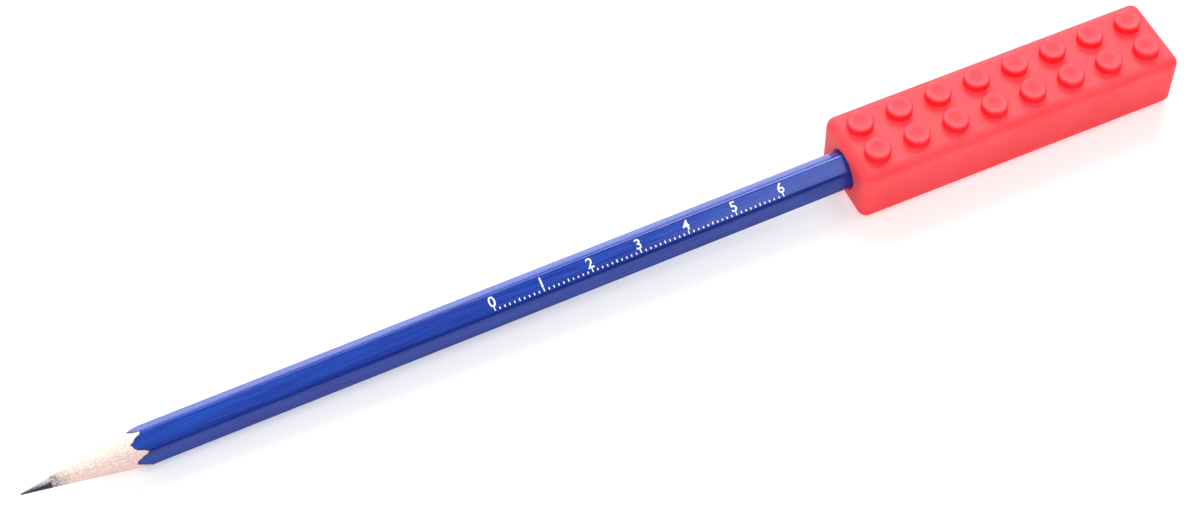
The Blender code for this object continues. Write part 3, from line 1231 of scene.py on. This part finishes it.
@dataclass(frozen=True)
class Softbox:
    """One softbox of the light tent, by where it hangs and how wide and tall it is."""

    name: str
    place: Place
    size: Span
    watts: float

    def hang(self, target: Vector) -> None:
        """Hangs the softbox and aims it.

        Args:
            target: The point that it faces.
        """
        lamp = bpy.data.lights.new(self.name, "AREA")
        lamp.shape = "RECTANGLE"
        lamp.size, lamp.size_y = self.size
        lamp.energy = self.watts
        light = bpy.data.objects.new(self.name, lamp)
        light.location = self.place
        light.rotation_euler = (target - Vector(self.place)).to_track_quat("-Z", "Y").to_euler()
        bpy.context.scene.collection.objects.link(light)


@dataclass
class Studio:
    """A white paper sweep, a pale light tent with a darker hem, and the camera that took the photograph."""

    floor_size: float = 4.0
    tent_colour: str = "#FFFFFF"
    tent_strength: float = 0.46
    hem_strength: float = 0.12
    hem_rise: Span = (0.20, 0.36)
    hem_up: Place = (0.0, 0.30, 0.954)
    camera_target: Place = (-3.25 * MM, 0.70 * MM, 6.5 * MM)
    camera_distance: float = 466.4 * MM
    camera_azimuth: float = math.radians(-23.04)
    camera_elevation: float = math.radians(55.03)
    camera_roll: float = math.radians(-1.755)
    lens: float = 74.0
    sensor_width: float = 36.0
    clip_start: float = 10.0 * MM
    boxes: tuple[Softbox, ...] = (
        Softbox("front_softbox", (-0.60, -0.80, 1.05), (0.80, 0.80), 10.5),
        Softbox("right_softbox", (0.45, -0.17, 0.93), (0.40, 0.40), 1.5),
        Softbox("back_softbox", (0.10, 0.88, 0.80), (0.80, 0.60), 3.4),
        Softbox("key_softbox", (0.60, 0.87, 0.96), (0.70, 0.70), 13.0),
    )
    floor_finish: MattPaper = field(default_factory=MattPaper)

    def lay_floor(self) -> None:
        """Lays the paper under the topper's flat base."""
        middle = (0.0, 0.0, CAD_BOX[0].z)
        sheet = bpy.ops.mesh.primitive_plane_add
        floor = start_shape("paper_sweep", sheet, size=self.floor_size, location=middle)
        floor.data.materials.append(self.floor_finish.make())

    def light_tent(self) -> None:
        """Makes the tent, darker along its hem, which is higher in front, and hangs the softboxes."""
        world = bpy.data.worlds.new("light_tent")
        world.use_nodes = True
        bpy.context.scene.world = world
        tree = world.node_tree
        place = add_node(tree, "TexCoord", {}).outputs["Generated"]
        height = add_node(tree, "VectorMath", {0: place, 1: self.hem_up}, operation="DOT_PRODUCT")
        strength = add_node(tree, "MapRange", {
            "Value": height,
            "From Min": self.hem_rise[0],
            "From Max": self.hem_rise[1],
            "To Min": self.hem_strength,
            "To Max": self.tent_strength,
        }, interpolation_type="SMOOTHSTEP")
        set_inputs(tree.nodes["Background"], {"Color": self.tent_colour, "Strength": strength})
        target = Vector(self.camera_target)
        for box in self.boxes:
            box.hang(target)

    def set_camera(self) -> None:
        """Sets up the camera at the photograph's viewing angle."""
        lens = bpy.data.cameras.new("photograph_view")
        lens.lens = self.lens
        lens.sensor_fit = "HORIZONTAL"
        lens.sensor_width = self.sensor_width
        lens.clip_start = self.clip_start
        camera = bpy.data.objects.new("photograph_view", lens)
        level = math.cos(self.camera_elevation)
        outward = Vector((
            math.sin(self.camera_azimuth) * level,
            -math.cos(self.camera_azimuth) * level,
            math.sin(self.camera_elevation),
        ))
        camera.location = Vector(self.camera_target) + outward * self.camera_distance
        aim = outward.to_track_quat("Z", "Y").to_matrix() @ Matrix.Rotation(self.camera_roll, 3, "Z")
        camera.rotation_euler = aim.to_euler()
        bpy.context.scene.collection.objects.link(camera)
        bpy.context.scene.camera = camera

    def build(self) -> None:
        """Sets up the floor, the light and the camera."""
        self.lay_floor()
        self.light_tent()
        self.set_camera()
        bpy.context.scene.view_settings.view_transform = "Standard"


def report(piece: Object) -> None:
    """Logs a finished piece with its count of faces."""
    LOG.info("%s: %d faces", piece.name, len(piece.data.polygons))


def main() -> None:
    """Builds the topper, the pencil, its scale and the studio, and writes how large they came out."""
    logging.basicConfig(level=logging.INFO, format="%(name)s: %(message)s")
    pencil = HexagonPencil()
    report(StuddedTopper().build())
    report(pencil.lacquer())
    for half in Half:
        report(pencil.casing(half))
    report(pencil.lead())
    report(StampedScale().build(pencil))
    Studio().build()


if __name__ == "__main__":
    main()
